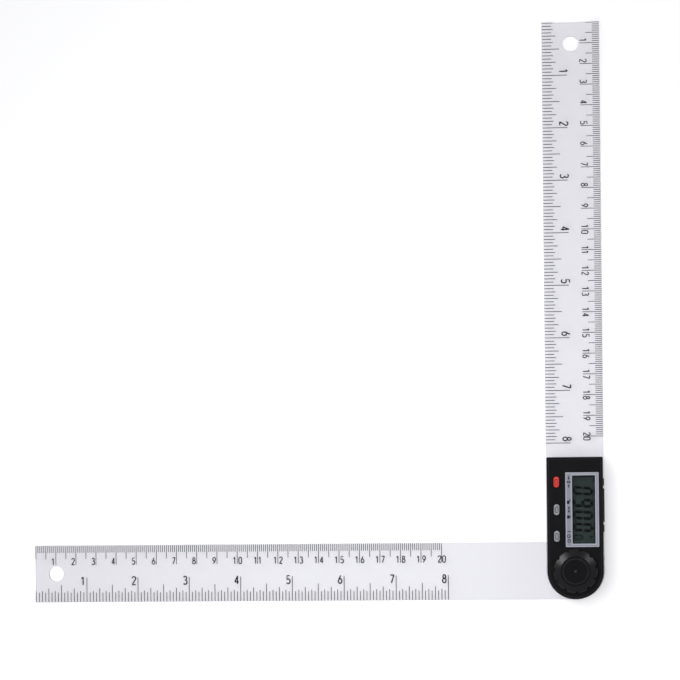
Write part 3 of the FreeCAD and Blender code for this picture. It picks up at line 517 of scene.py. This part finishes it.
def make_scale_tree():
    """A geometry tree that draws one ruled scale from its first mark at the origin."""
    tree = bpy.data.node_groups.new("ruled_scale", "GeometryNodeTree")
    face = tree.interface
    face.new_socket("Geometry", in_out="OUTPUT", socket_type="NodeSocketGeometry")
    face.new_socket("Mark Count", in_out="INPUT", socket_type="NodeSocketInt")
    for name in ("Spacing", "Line Width", "Ink Thickness", "Side", "First Length", "Plain Length"):
        face.new_socket(name, in_out="INPUT", socket_type="NodeSocketFloat")
    for step in STEPS:
        face.new_socket(f"{step} Step", in_out="INPUT", socket_type="NodeSocketInt")
        face.new_socket(f"{step} Length", in_out="INPUT", socket_type="NodeSocketFloat")
    face.new_socket("Ink", in_out="INPUT", socket_type="NodeSocketMaterial")
    given = add_node(tree, "NodeGroupInput").outputs
    number = add_node(tree, "GeometryNodeInputIndex").outputs[0]

    length = given["Plain Length"]
    for step in STEPS:
        rest = add_node(tree, "FunctionNodeIntegerMath", {0: number, 1: given[f"{step} Step"]},
                        operation="MODULO")
        divides = add_node(tree, "FunctionNodeCompare", {2: rest.outputs[0], 3: 0},
                           data_type="INT", operation="EQUAL")
        length = add_node(tree, "GeometryNodeSwitch", {
            "Switch": divides.outputs[0], "False": length, "True": given[f"{step} Length"]},
            input_type="FLOAT").outputs[0]
    first = add_node(tree, "FunctionNodeCompare", {2: number, 3: 0}, data_type="INT", operation="EQUAL")
    length = add_node(tree, "GeometryNodeSwitch", {
        "Switch": first.outputs[0], "False": length, "True": given["First Length"]},
        input_type="FLOAT").outputs[0]

    stride = add_node(tree, "ShaderNodeCombineXYZ", {"X": given["Spacing"]})
    line = add_node(tree, "GeometryNodeMeshLine", {
        "Count": given["Mark Count"], "Offset": stride.outputs[0]}, mode="OFFSET")
    half = add_node(tree, "ShaderNodeMath", {0: length, 1: given["Side"]}, operation="MULTIPLY")
    middle = add_node(tree, "ShaderNodeMath", {0: half.outputs[0], 1: 0.5}, operation="MULTIPLY")
    rise = add_node(tree, "ShaderNodeMath", {0: given["Ink Thickness"], 1: 0.5}, operation="MULTIPLY")
    shift = add_node(tree, "ShaderNodeCombineXYZ", {"Y": middle.outputs[0], "Z": rise.outputs[0]})
    centres = add_node(tree, "GeometryNodeSetPosition", {
        "Geometry": line.outputs[0], "Offset": shift.outputs[0]})
    bar = add_node(tree, "GeometryNodeMeshCube", {"Size": (1, 1, 1)})
    size = add_node(tree, "ShaderNodeCombineXYZ", {
        "X": given["Line Width"], "Y": length, "Z": given["Ink Thickness"]})
    marks = add_node(tree, "GeometryNodeInstanceOnPoints", {
        "Points": centres.outputs[0], "Instance": bar.outputs[0], "Scale": size.outputs[0]})
    solid = add_node(tree, "GeometryNodeRealizeInstances", {"Geometry": marks.outputs[0]})
    inked = add_node(tree, "GeometryNodeSetMaterial", {
        "Geometry": solid.outputs[0], "Material": given["Ink"]})
    add_node(tree, "NodeGroupOutput", {"Geometry": inked.outputs[0]})
    return tree


scale_tree = make_scale_tree()
print("inputs:", [item.name for item in scale_tree.interface.items_tree if item.in_out == "INPUT"])

# %% [markdown]
# A modifier keeps its inputs under the sockets' identifiers, so the named sizes are looked up first. The
# evaluated result is copied to a plain mesh, and the object that carried the tree is thrown away.

# %% Both scales as plain meshes
INCH_MM = 25.4
UNUSED_STEP = 100000
EDGE_MARGIN_MM = 0.25
CENTIMETRE_SCALE = {
    "Mark Count": 201, "Spacing": 1 * MM, "Line Width": 0.3 * MM, "Ink Thickness": INK_MM * MM,
    "Side": -1.0, "First Length": 6.5 * MM, "Plain Length": 3.4 * MM,
    "Fine Step": 5, "Fine Length": 6.5 * MM, "Middle Step": 10, "Middle Length": 9.4 * MM,
    "Coarse Step": UNUSED_STEP, "Coarse Length": 0.0, "Full Step": UNUSED_STEP, "Full Length": 0.0,
    "Ink": scale_ink,
}
INCH_SCALE = {
    "Mark Count": 129, "Spacing": INCH_MM / 16 * MM, "Line Width": 0.33 * MM,
    "Ink Thickness": INK_MM * MM, "Side": 1.0, "First Length": 5.3 * MM, "Plain Length": 4.5 * MM,
    "Fine Step": 2, "Fine Length": 5.3 * MM, "Middle Step": 4, "Middle Length": 6.6 * MM,
    "Coarse Step": 8, "Coarse Length": 8.3 * MM, "Full Step": 16, "Full Length": 11.9 * MM,
    "Ink": scale_ink,
}


def draw_scale(name, sizes):
    """The mesh that the scale tree gives for these sizes."""
    carrier = bpy.data.objects.new(name, bpy.data.meshes.new(name))
    bpy.context.scene.collection.objects.link(carrier)
    modifier = carrier.modifiers.new("scale", "NODES")
    modifier.node_group = scale_tree
    for item in scale_tree.interface.items_tree:
        if item.in_out == "INPUT":
            modifier[item.identifier] = sizes[item.name]
    drawn = carrier.evaluated_get(bpy.context.evaluated_depsgraph_get())
    mesh = bpy.data.meshes.new_from_object(drawn)
    bpy.data.objects.remove(carrier)
    return mesh


centimetre_marks = draw_scale("centimetre_marks", CENTIMETRE_SCALE)
inch_marks = draw_scale("inch_marks", INCH_SCALE)
print("marks' faces:", len(centimetre_marks.polygons), len(inch_marks.polygons))

# %% [markdown]
# ## Numerals
#
# The ruler's numerals are narrow and drawn with one even stroke, as an engraver's pantograph does it. So
# each digit is a few strokes in a box one unit high, straight or bent along an ellipse. A sharp corner is
# where one stroke ends and the next begins, because a bent tube would be pinched there. A curve object
# with a round bevel gives every stroke the same width and fills its bends, and squashing the tube flat
# leaves a film of ink that is thickest in its middle, as wet ink dries. A text object would be quicker,
# but its letter shapes are wider and its strokes vary.
#
# A centimetre numeral of one digit stands just before its mark, and one of two digits straddles it. The
# pairs 11 and 20 stand a little closer together than the others. The scale starts have no numeral.

# %% Digits from strokes
DIGIT_BOX = 0.44
ARC_STEPS = 14


def bend(x, y, across, up, start, end):
    """Points along an ellipse about x and y, from one angle to another, in degrees."""
    angles = [math.radians(start + (end - start) * step / ARC_STEPS) for step in range(ARC_STEPS + 1)]
    return [(x + across * math.cos(angle), y + up * math.sin(angle)) for angle in angles]


MIDDLE = DIGIT_BOX / 2
STROKES = {
    "0": [bend(MIDDLE, 0.78, MIDDLE, 0.22, 0, 180) + bend(MIDDLE, 0.22, MIDDLE, 0.22, 180, 360)
          + [(DIGIT_BOX, 0.78)]],
    "1": [[(0.04, 0.8), (0.24, 1.0)], [(0.24, 1.0), (0.24, 0.0)]],
    "2": [bend(MIDDLE, 0.78, MIDDLE, 0.22, 175, -25) + [(0.0, 0.0)], [(0.0, 0.0), (DIGIT_BOX, 0.0)]],
    "3": [bend(0.2, 0.77, 0.2, 0.23, 150, -90), bend(0.2, 0.27, 0.24, 0.27, 90, -145)],
    "4": [[(0.32, 0.0), (0.32, 1.0)], [(0.32, 1.0), (0.0, 0.27)], [(0.0, 0.27), (0.46, 0.27)]],
    "5": [[(0.4, 1.0), (0.07, 1.0), (0.03, 0.55)] + bend(0.21, 0.3, 0.23, 0.3, 110, -145)],
    "6": [bend(MIDDLE, 0.29, MIDDLE, 0.29, 160, 520), [(0.012, 0.38), (0.3, 1.0)]],
    "7": [[(0.0, 1.0), (DIGIT_BOX, 1.0)], [(DIGIT_BOX, 1.0), (0.12, 0.0)]],
    "8": [bend(MIDDLE, 0.77, 0.17, 0.23, -90, 270), bend(MIDDLE, 0.27, MIDDLE, 0.27, 90, 450)],
    "9": [bend(MIDDLE, 0.71, MIDDLE, 0.29, -20, 340), [(DIGIT_BOX - 0.012, 0.62), (0.1, 0.0)]],
}
ADVANCE = 0.89
CLOSE_PAIRS = ("11", "20")
CLOSE_ADVANCE = 0.7


def numeral_mesh(words, height, stroke):
    """A number of a given height and stroke width, its boxes centred, with its foot at the origin."""
    pen = bpy.data.curves.new("numeral", "CURVE")
    pen.dimensions = "3D"
    pen.bevel_depth = stroke / 2
    pen.bevel_resolution = 1
    pen.use_fill_caps = True
    tall = height - stroke
    advance = CLOSE_ADVANCE if words in CLOSE_PAIRS else ADVANCE
    for place, digit in enumerate(words):
        for stroke_points in STROKES[digit]:
            spline = pen.splines.new("POLY")
            spline.points.add(len(stroke_points) - 1)
            for point, (x, y) in zip(spline.points, stroke_points):
                point.co = ((x + place * advance) * tall, y * tall + stroke / 2, 0, 1)
    carrier = bpy.data.objects.new("numeral", pen)
    bpy.context.scene.collection.objects.link(carrier)
    drawn = carrier.evaluated_get(bpy.context.evaluated_depsgraph_get())
    mesh = bpy.data.meshes.new_from_object(drawn)
    bpy.data.objects.remove(carrier)
    width = ((len(words) - 1) * advance + DIGIT_BOX) * tall
    flat = Matrix.Diagonal((1, 1, INK_MM * MM / stroke, 1))
    mesh.transform(Matrix.Translation((-width / 2, 0, INK_MM * MM / 2)) @ flat)
    return mesh


def joined(name, placed, material):
    """One object from meshes, each with the matrix that puts it in place."""
    work = bmesh.new()
    for mesh, matrix in placed:
        copy = mesh.copy()
        copy.transform(matrix)
        work.from_mesh(copy)
        bpy.data.meshes.remove(copy)
    whole = bpy.data.meshes.new(name)
    work.to_mesh(whole)
    work.free()
    whole.materials.clear()
    whole.materials.append(material)
    whole.polygons.foreach_set("material_index", [0] * len(whole.polygons))
    piece = bpy.data.objects.new(name, whole)
    bpy.context.scene.collection.objects.link(piece)
    return piece


# %% Print both blades
SCALE_START_MM = 0.17
CENTIMETRE_MM = 10
LAST_CENTIMETRE = 20
LAST_INCH = 8
CENTIMETRE_STROKE_MM = 0.48
INCH_STROKE_MM = 0.6
CENTIMETRE_NUMERAL_MM = 3.6
CENTIMETRE_FOOT_MM = 9.8
CENTIMETRE_GAP_MM = 0.45
INCH_NUMERAL_MM = 4.5
INCH_FOOT_MM = 8.2
INCH_GAP_MM = 0.8
PAIR_SHIFT_MM = 0.1
CLEARANCE = 0.001 * MM

blade_low, blade_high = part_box("lower_blade")
zero_x = blade_low.x + SCALE_START_MM * MM
metric_edge = blade_high.y
inch_edge = blade_low.y
print_height = blade_high.z + CLEARANCE


def number_row(numbers, spacing, height, stroke, foot, gap):
    """Numerals of a scale: one digit stands a gap before its mark, two digits straddle it."""
    parts = []
    for number in numbers:
        words = str(number)
        mesh = numeral_mesh(words, height * MM, stroke * MM)
        mark = zero_x + number * spacing * MM
        beside = (gap + stroke / 2 + DIGIT_BOX * (height - stroke) / 2) * MM
        mark += PAIR_SHIFT_MM * MM if len(words) > 1 else -beside
        parts.append((mesh, Matrix.Translation((mark, foot, print_height))))
    return parts


def print_parts():
    """Everything printed on the lower blade, as meshes with their places."""
    marks = [
        (centimetre_marks, Matrix.Translation((zero_x, metric_edge - EDGE_MARGIN_MM * MM, print_height))),
        (inch_marks, Matrix.Translation((zero_x, inch_edge + EDGE_MARGIN_MM * MM, print_height))),
    ]
    centimetres = number_row(
        range(1, LAST_CENTIMETRE + 1), CENTIMETRE_MM, CENTIMETRE_NUMERAL_MM, CENTIMETRE_STROKE_MM,
        metric_edge - CENTIMETRE_FOOT_MM * MM, CENTIMETRE_GAP_MM)
    inches = number_row(
        range(1, LAST_INCH + 1), INCH_MM, INCH_NUMERAL_MM, INCH_STROKE_MM,
        inch_edge + INCH_FOOT_MM * MM, INCH_GAP_MM)
    return marks + centimetres + inches


lower_parts = print_parts()
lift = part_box("upper_blade")[0].z - blade_low.z
to_upper = Matrix.Translation((0, 0, lift)) @ Matrix.Rotation(math.radians(-90), 4, "Z")
upper_parts = [(mesh, to_upper @ matrix) for mesh, matrix in lower_parts]
lower_print = joined("lower_scale_print", lower_parts, scale_ink)
upper_print = joined("upper_scale_print", upper_parts, scale_ink)
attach(lower_print, "lower_arm")
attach(upper_print, "head")
print("printed faces on one blade:", len(lower_print.data.polygons))

# %% [markdown]
# ## The display's digits
#
# A liquid crystal digit is made of seven bars with mitred ends and a thin gap between them, and leans a
# few degrees. The bars are outlines in a small frame of their own, where one unit is half the digit's
# height between bar centres. A loop places the digits down the display, because the head is seen
# turned by a quarter: the tops of the digits point to +X and the line is read towards -Y.

# %% Display digits
MAIN_DIGIT_MM = {"width": 2.97, "height": 8.45, "bar": 1.3, "gap": 0.18}
SMALL_DIGIT_MM = {"width": 1.7, "height": 3.9, "bar": 0.6, "gap": 0.09}
DIGIT_PITCH_MM = 5.83
FIRST_DIGIT_Y_MM = 38.44
DIGIT_LEAN = math.tan(math.radians(4))
DIGITS_X_MM = 3.7
SMALL_DIGIT_PLACE_MM = (1.45, 16.2)
DEGREE_RING_MM = (0.75, 0.25)
DEGREE_PLACE_MM = (7.7, 16.25)
POINT_RADIUS_MM = 0.45
POINT_PLACE_MM = (0.3, 23.9)
CIRCLE_SIDES = 20
READING = "0900"
LIT_BARS = {"0": "abcdef", "9": "abcdfg"}


def bar_outline(start, end, bar, gap):
    """The six corners of a bar with mitred ends between two points."""
    along = (end - start).normalized()
    aside = Vector((-along.y, along.x)) * bar / 2
    inset = along * (gap + bar / 2)
    tip = along * gap
    return [start + tip, start + inset - aside, end - inset - aside,
            end - tip, end - inset + aside, start + inset + aside]


def digit_outlines(digit, width, height, bar, gap):
    """Outlines of the lit bars of one digit, centred on its middle, upright."""
    left, right, top, low = -width / 2, width / 2, height / 2, -height / 2
    ends = {
        "a": ((left, top), (right, top)), "b": ((right, top), (right, 0)),
        "c": ((right, 0), (right, low)), "d": ((left, low), (right, low)),
        "e": ((left, 0), (left, low)), "f": ((left, top), (left, 0)), "g": ((left, 0), (right, 0)),
    }
    return [bar_outline(Vector(ends[name][0]), Vector(ends[name][1]), bar, gap)
            for name in LIT_BARS[digit]]


def ring_outline(radius, sides=CIRCLE_SIDES):
    """Points of a circle about the origin."""
    return [Vector((math.cos(2 * math.pi * side / sides), math.sin(2 * math.pi * side / sides))) * radius
            for side in range(sides)]


def band(outer, inner):
    """Four-cornered outlines that fill the space between two loops of as many points."""
    count = len(outer)
    return [[outer[i], outer[(i + 1) % count], inner[(i + 1) % count], inner[i]] for i in range(count)]


def print_object(name, faces, height, material):
    """Flat outlines in millimetres on a level, raised by the ink's thickness, as one piece."""
    work = bmesh.new()
    for outline in faces:
        base = [work.verts.new((point.x * MM, point.y * MM, height)) for point in outline]
        top = [work.verts.new((point.x * MM, point.y * MM, height + INK_MM * MM)) for point in outline]
        work.faces.new(base[::-1])
        work.faces.new(top)
        for first in range(len(outline)):
            second = (first + 1) % len(outline)
            work.faces.new((base[first], base[second], top[second], top[first]))
    bmesh.ops.recalc_face_normals(work, faces=work.faces)
    mesh = bpy.data.meshes.new(name)
    work.to_mesh(mesh)
    work.free()
    mesh.materials.append(material)
    piece = bpy.data.objects.new(name, mesh)
    bpy.context.scene.collection.objects.link(piece)
    return piece


def turned_outlines(outlines, x, y, lean=DIGIT_LEAN):
    """Leans upright outlines, turns them so that their tops point to +X, and places them."""
    return [[Vector((x + point.y, y - point.x - point.y * lean)) for point in outline]
            for outline in outlines]


def display_faces():
    """Every dark shape on the display, in millimetres from the pivot."""
    shapes = []
    for place, digit in enumerate(READING):
        outlines = digit_outlines(digit, **MAIN_DIGIT_MM)
        shapes += turned_outlines(outlines, DIGITS_X_MM, FIRST_DIGIT_Y_MM - place * DIGIT_PITCH_MM)
    shapes += turned_outlines(digit_outlines("0", **SMALL_DIGIT_MM), *SMALL_DIGIT_PLACE_MM)
    outer, inner = DEGREE_RING_MM
    shapes += turned_outlines(band(ring_outline(outer), ring_outline(inner)), *DEGREE_PLACE_MM)
    shapes += turned_outlines([ring_outline(POINT_RADIUS_MM)], *POINT_PLACE_MM)
    return shapes


cell_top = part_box("lcd_glass")[1].z
display_shapes = display_faces()
digits = print_object("display_digits", display_shapes, cell_top + CLEARANCE, segment_ink)
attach(digits, "head")
print("shapes on the display:", len(display_shapes))

# %% [markdown]
# ## Prints on the head
#
# A black frame printed under the window hides the edge of the display cell; its uneven widths paint the
# shade that falls just inside the opening's edges. The bezel plate has a lighter line along its outer and
# its inner edge, a painted highlight where its small chamfers catch the light, and plain signs beside each
# button, of the kind that any instrument carries. Set to zero is a nought between two arrows. Hold is an
# open and a closed padlock with a two-headed arrow between them. Power is a bar for on, the usual broken
# ring, and a ring for off. Each button has a thin darker oval round its finger dimple: painted shade at
# the dimple's edge.
#
# Everything here is a flat outline raised by the ink's thickness, so one helper makes a closed band
# between two outlines, and the rest is corner points and circles. The signs' measures are shares of their
# height.

# %% Bands, frames and symbols
# Width of the bezel's lighter edge lines, which are painted highlights
BEZEL_HIGHLIGHT_MM = 0.5
# Widths of the printed frame inside the opening by side; uneven, to paint the shade along its edges
SHADE_FRAME_MM = {"left": 0.4, "right": 0.65, "far": 0.6, "near": 0.25}
SYMBOL_X_MM = -2.92
SYMBOL_TALL_MM = 1.8
SYMBOL_STROKE_MM = 0.38
ZERO_SIGN = {"half": 0.3, "tip": 0.55, "wing": 1.05, "tail": 1.6, "spread": 0.32}
PADLOCK = {"half": 0.42, "foot": 0.5, "shoulder": 0.12, "bow": 0.24, "swung": 0.48}
HOLD_ARROW = {"shaft": 0.5, "root": 0.35, "tip": 0.9, "spread": 0.34}
HOLD_REACH = 1.95
POWER_SIGN = {"ring": 0.42, "start": 125, "end": 415, "stem": 0.62, "drop": 0.08}
ON_BAR_HALF = 0.45
OFF_RING = 0.36
POWER_REACH = 1.25
WINDOW_MARGIN_MM = 1.2
BEZEL_EDGE_MM = 0.12
# Size of the ovals of painted shade round the button dimples
OVAL_MM = {"radius": 0.85, "length": 3.2, "line": 0.32}
ROUND_SIDES = 24
ARC_PIECES = 16


def corners(left, right, low, high):
    """A rectangle's corners."""
    return [Vector((left, low)), Vector((right, low)), Vector((right, high)), Vector((left, high))]


def stadium(radius, length, sides=ROUND_SIDES):
    """A slot shape about the origin that stands along Y."""
    loop = ring_outline(radius, sides)
    rise = length / 2 - radius
    return [Vector((point.x, point.y + (rise if point.y > 0 else -rise))) for point in loop]


def moved(outlines, x, y):
    """Outlines shifted by x and y."""
    return [[point + Vector((x, y)) for point in outline] for outline in outlines]


def arc_band(radius, width, start, end):
    """Pieces of a ring from one angle to another, in degrees."""
    turns = [math.radians(start + (end - start) * step / ARC_PIECES) for step in range(ARC_PIECES + 1)]
    spokes = [Vector((math.cos(turn), math.sin(turn))) for turn in turns]
    far, near = radius + width / 2, radius - width / 2
    return [[a * near, a * far, b * far, b * near] for a, b in zip(spokes, spokes[1:])]


def zero_symbol(tall, stroke):
    """A nought between two arrows that point at it."""
    half, spread = tall * ZERO_SIGN["half"], tall * ZERO_SIGN["spread"]
    nought = band(stadium(half, tall), stadium(half - stroke, tall - 2 * stroke))
    arrows = []
    for side in (-1, 1):
        tip, wing, tail = [side * tall * ZERO_SIGN[name] for name in ("tip", "wing", "tail")]
        arrows.append([Vector((tip, 0)), Vector((wing, -spread)), Vector((wing, spread))])
        arrows.append([Vector((wing, -stroke / 2)), Vector((tail, -stroke / 2)),
                       Vector((tail, stroke / 2)), Vector((wing, stroke / 2))])
    return nought + arrows


def hold_symbol(tall, stroke):
    """An open padlock, an arrow with two heads, and a closed padlock."""
    half, foot, shoulder, radius, swung = [tall * PADLOCK[name] for name in PADLOCK]
    body = corners(-half, half, -foot, shoulder)
    bow = arc_band(radius, stroke, 0, 180)
    closed = [body] + moved(bow, 0, shoulder)
    opened = [body] + moved(bow, -swung, shoulder)
    shaft, spread = tall * HOLD_ARROW["shaft"], tall * HOLD_ARROW["spread"]
    arrow = [corners(-shaft, shaft, -stroke / 2, stroke / 2)]
    for side in (-1, 1):
        root, tip = side * tall * HOLD_ARROW["root"], side * tall * HOLD_ARROW["tip"]
        arrow.append([Vector((tip, 0)), Vector((root, -spread)), Vector((root, spread))])
    reach = tall * HOLD_REACH
    return moved(opened, -reach, 0) + arrow + moved(closed, reach, 0)


def power_symbol(tall, stroke):
    """A bar for on, the broken ring with its bar, and a full ring for off."""
    ring = arc_band(tall * POWER_SIGN["ring"], stroke, POWER_SIGN["start"], POWER_SIGN["end"])
    stem = corners(-stroke / 2, stroke / 2, 0, tall * POWER_SIGN["stem"])
    on = corners(-stroke / 2, stroke / 2, -tall * ON_BAR_HALF, tall * ON_BAR_HALF)
    off = arc_band(tall * OFF_RING, stroke, 0, 360)
    reach = tall * POWER_REACH
    middle = moved(ring + [stem], 0, -tall * POWER_SIGN["drop"])
    return moved([on], -reach, 0) + middle + moved(off, reach, 0)


def in_millimetre_box(node):
    """A node's lowest and highest corner in millimetres."""
    low_corner, high_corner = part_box(node)
    return low_corner / MM, high_corner / MM


# %% Make the prints on the head
def head_prints():
    """Frame under the window with painted shade inside its edges, painted highlight lines on the bezel,
    and the three symbols.
    """
    bezel_low, bezel_high = in_millimetre_box("display_bezel")
    window_low, window_high = in_millimetre_box("display_window")
    margin = WINDOW_MARGIN_MM
    left, right = window_low.x + margin, window_high.x - margin
    near, far = window_low.y + margin, window_high.y - margin
    outer = corners(window_low.x, window_high.x, window_low.y, window_high.y)
    inner = corners(left + SHADE_FRAME_MM["left"], right - SHADE_FRAME_MM["right"],
                    near + SHADE_FRAME_MM["near"], far - SHADE_FRAME_MM["far"])
    # Black frame under the window, with painted shade along the opening's edges
    frame_and_shade_print = print_object(
        "display_frame_and_shade", band(outer, inner), window_low.z * MM - INK_MM * MM - CLEARANCE, symbol_ink)

    edge = BEZEL_EDGE_MM
    outer = corners(bezel_low.x + edge, bezel_high.x - edge, bezel_low.y + edge, bezel_high.y - edge)
    inside = corners(bezel_low.x + edge + BEZEL_HIGHLIGHT_MM, bezel_high.x - edge - BEZEL_HIGHLIGHT_MM,
                     bezel_low.y + edge + BEZEL_HIGHLIGHT_MM, bezel_high.y - edge - BEZEL_HIGHLIGHT_MM)
    around = corners(left - edge - BEZEL_HIGHLIGHT_MM, right + edge + BEZEL_HIGHLIGHT_MM, near - edge - BEZEL_HIGHLIGHT_MM,
                     far + edge + BEZEL_HIGHLIGHT_MM)
    rim = corners(left - edge, right + edge, near - edge, far + edge)
    # Lighter lines along the bezel's outer and inner edges: painted highlights
    lines = print_object("bezel_painted_highlights", band(outer, inside) + band(around, rim),
                         bezel_high.z * MM + CLEARANCE, highlight_paint)

    shapes = []
    for draw, button in ((zero_symbol, "zero_button"), (hold_symbol, "hold_button"),
                         (power_symbol, "power_button")):
        low_corner, high_corner = in_millimetre_box(button)
        shapes += turned_outlines(draw(SYMBOL_TALL_MM, SYMBOL_STROKE_MM), SYMBOL_X_MM,
                                  (low_corner.y + high_corner.y) / 2, lean=0.0)
    symbols = print_object("bezel_symbols", shapes, bezel_high.z * MM + CLEARANCE, symbol_ink)
    return frame_and_shade_print, lines, symbols


def button_oval(button, paint):
    """Painted shade: a darker oval round one button's dimple, at the dimple's edge."""
    low_corner, high_corner = in_millimetre_box(button)
    shape = band(stadium(OVAL_MM["radius"], OVAL_MM["length"]),
                 stadium(OVAL_MM["radius"] - OVAL_MM["line"], OVAL_MM["length"] - 2 * OVAL_MM["line"]))
    middle = (low_corner + high_corner) / 2
    oval = print_object(f"{button}_oval", moved(shape, middle.x, middle.y),
                        high_corner.z * MM + CLEARANCE, paint)
    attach(oval, button)
    return oval


# A lighter paint for the painted highlights on the bezel's edges
highlight_paint = print_ink("painted_edge_highlight", "#b4b7c1", 0.4)
# Darker paints for the painted shade round each button's dimple
red_shadow = print_ink("painted_dimple_shade_red", "#9c211e", 0.45)
grey_shadow = print_ink("painted_dimple_shade_grey", "#45494f", 0.45)
printed = head_prints()
for print_piece, place in zip(printed, ("chip_black", "bezel_grey", "chip_black")):
    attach(print_piece, "head")
# Painted shade round each button's dimple
dimple_shades = [button_oval("zero_button", red_shadow), button_oval("hold_button", grey_shadow),
         button_oval("power_button", grey_shadow)]
print("prints on the head:", len(printed) + len(dimple_shades))

# %% [markdown]
# ## The knob's ring and dimple
#
# The knob's cap has a shallow ring and a centre dimple pressed in. A thin band and a small round lie on
# their floors in a smoother black that is painted lighter than the face round them: a painted highlight on
# the ring's and the dimple's floors.

# %% Painted highlights on the cap's floors
CAP_RING_MM = (6.15, 5.85)
CAP_DIMPLE_MM = 0.6
CAP_PRESS_MM = 0.15
RING_SIDES = 96

# A lighter black than the knob's: painted highlight on the cap's ring and dimple floors
cap_highlight_paint = print_ink("painted_highlight_abs", "#3a3a3f", 0.25)
cap_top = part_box("knob_cap")[1].z
cap_marks = band(ring_outline(CAP_RING_MM[0], RING_SIDES), ring_outline(CAP_RING_MM[1], RING_SIDES))
cap_marks.append(ring_outline(CAP_DIMPLE_MM))
floor_level = cap_top - CAP_PRESS_MM * MM + CLEARANCE
cap_highlights = print_object("cap_painted_highlights", cap_marks, floor_level, cap_highlight_paint)
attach(cap_highlights, "lock_knob")
print("faces on the cap:", len(cap_highlights.data.polygons))

# %% Sizes before and after
low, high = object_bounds()
sizes = {"cad": [list(cad_low), list(cad_high)], "visual": [list(low), list(high)]}
print("grown by, in mm:", [round((b - a) / MM, 3) for a, b in zip(cad_high - cad_low, high - low)])
